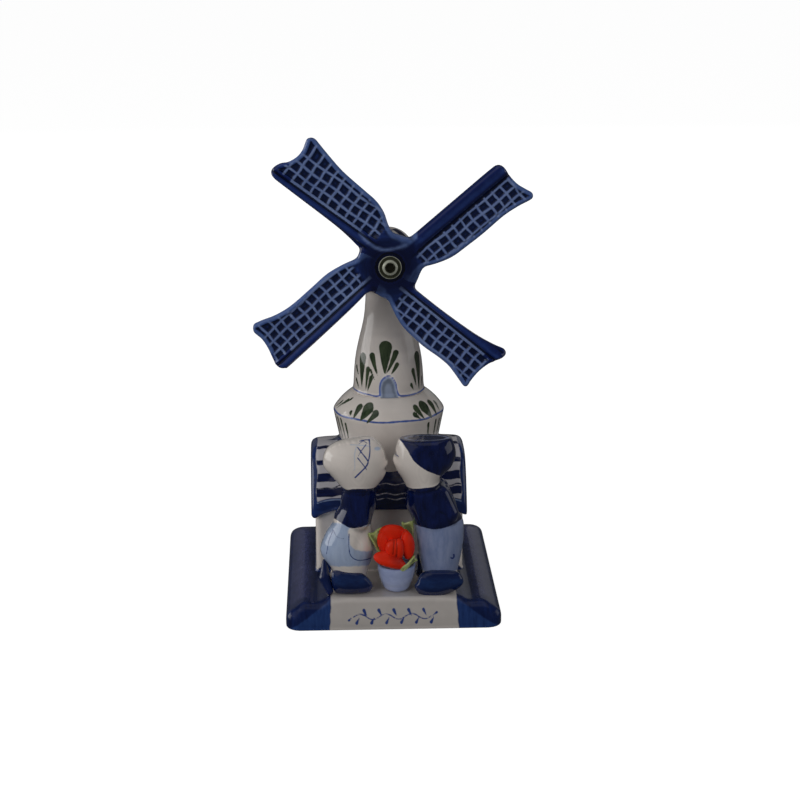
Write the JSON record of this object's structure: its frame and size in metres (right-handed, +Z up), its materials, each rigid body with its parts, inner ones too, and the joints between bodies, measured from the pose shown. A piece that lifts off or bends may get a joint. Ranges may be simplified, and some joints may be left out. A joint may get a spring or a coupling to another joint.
{
  "type": "windmill souvenir figurine",
  "caption": "Glazed blue and white windmill on a sloped plinth, with sails that spin on a screw, and a kissing couple with a potted flower in front.",
  "frame": {"origin": "centre of the plinth's flat foot, on the surface it stands on", "axes": "+Z up, the front with the couple and the sails faces -Y, +X to the right of someone facing the front"},
  "size_m": [0.0828, 0.078, 0.1415],
  "materials": {
    "cobalt_painted_glaze": "glossy cobalt brushwork over white under a clear glaze",
    "white_painted_glaze": "glossy warm white with painted blue and green brushwork",
    "dark_blue_glaze": "glossy deep cobalt with brush streaks",
    "pale_blue_glaze": "glossy pale blue wash with thin blue lines",
    "red_glaze": "satin orange-red",
    "green_glaze": "satin yellow-green",
    "nickel_plated_steel": "bright, with a dark recess",
    "nylon": "matt moulded"
  },
  "bodies": {
    "mill": {"plinth": "cobalt_painted_glaze", "house_walls": "white_painted_glaze", "house_roof": "dark_blue_glaze", "mill_waist": "white_painted_glaze", "mill_tower": "white_painted_glaze", "mill_cap": "white_painted_glaze", "front_washer": "nickel_plated_steel", "pivot_screw": "nickel_plated_steel", "screw_anchor": "nylon", "girl_head": "white_painted_glaze", "girl_bodice": "dark_blue_glaze", "girl_skirt": "pale_blue_glaze", "girl_front_clog": "dark_blue_glaze", "girl_rear_clog": "dark_blue_glaze", "boy_head": "white_painted_glaze", "boy_cap": "dark_blue_glaze", "boy_jacket": "dark_blue_glaze", "boy_trousers": "pale_blue_glaze", "boy_front_clog": "dark_blue_glaze", "boy_rear_clog": "dark_blue_glaze", "flower_pot": "pale_blue_glaze", "flower_bud": "red_glaze", "petal_left": "red_glaze", "petal_right": "red_glaze", "petal_back": "red_glaze", "petal_front": "red_glaze", "leaf_left": "green_glaze", "leaf_right": "green_glaze", "leaf_front": "green_glaze"},
    "sails": {"sail_cross": "cobalt_painted_glaze", "sail_bush": "nylon"}
  },
  "joints": [
    {"name": "sail_spin", "type": "hinge", "parent": "mill", "child": "sails", "pos_m": [0, -0.013, 0.1039], "axis": [0, -0.9945, 0.1045], "continuous": true}
  ]
}
